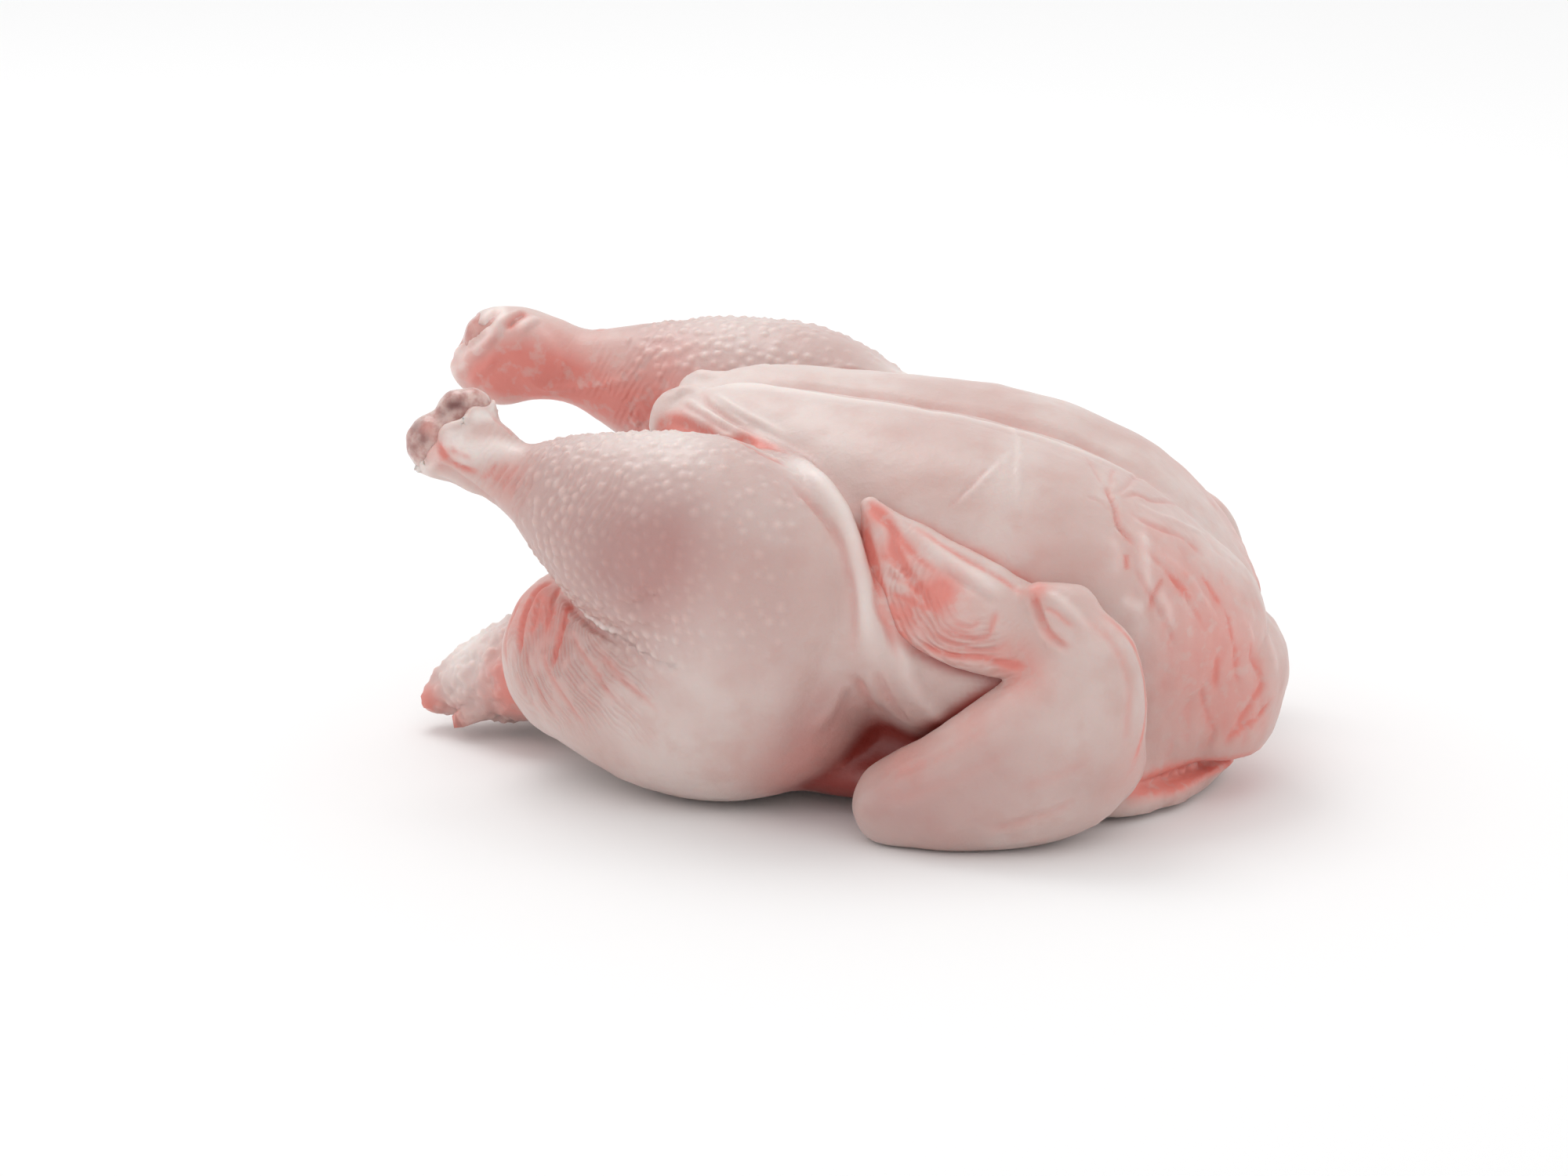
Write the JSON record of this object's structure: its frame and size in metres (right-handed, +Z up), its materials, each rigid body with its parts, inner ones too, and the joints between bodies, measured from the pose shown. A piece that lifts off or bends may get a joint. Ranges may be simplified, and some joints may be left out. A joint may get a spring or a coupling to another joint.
{
  "type": "whole raw chicken",
  "caption": "Whole raw plucked chicken lying on its back: smooth breast, free drumsticks, folded wings, tail, open body cavity and a neck slit.",
  "frame": {"origin": "middle of the bird's length and width, on the surface that it rests on", "axes": "+X from the tail towards the neck, +Z up from the back to the breast, the bird's left side faces -Y"},
  "size_m": [0.2308, 0.1632, 0.1016],
  "materials": {
    "skin": "moist pale pink skin with a soft sheen, redder in the folds"
  },
  "bodies": {
    "root": {"chicken": "skin"}
  },
  "joints": []
}
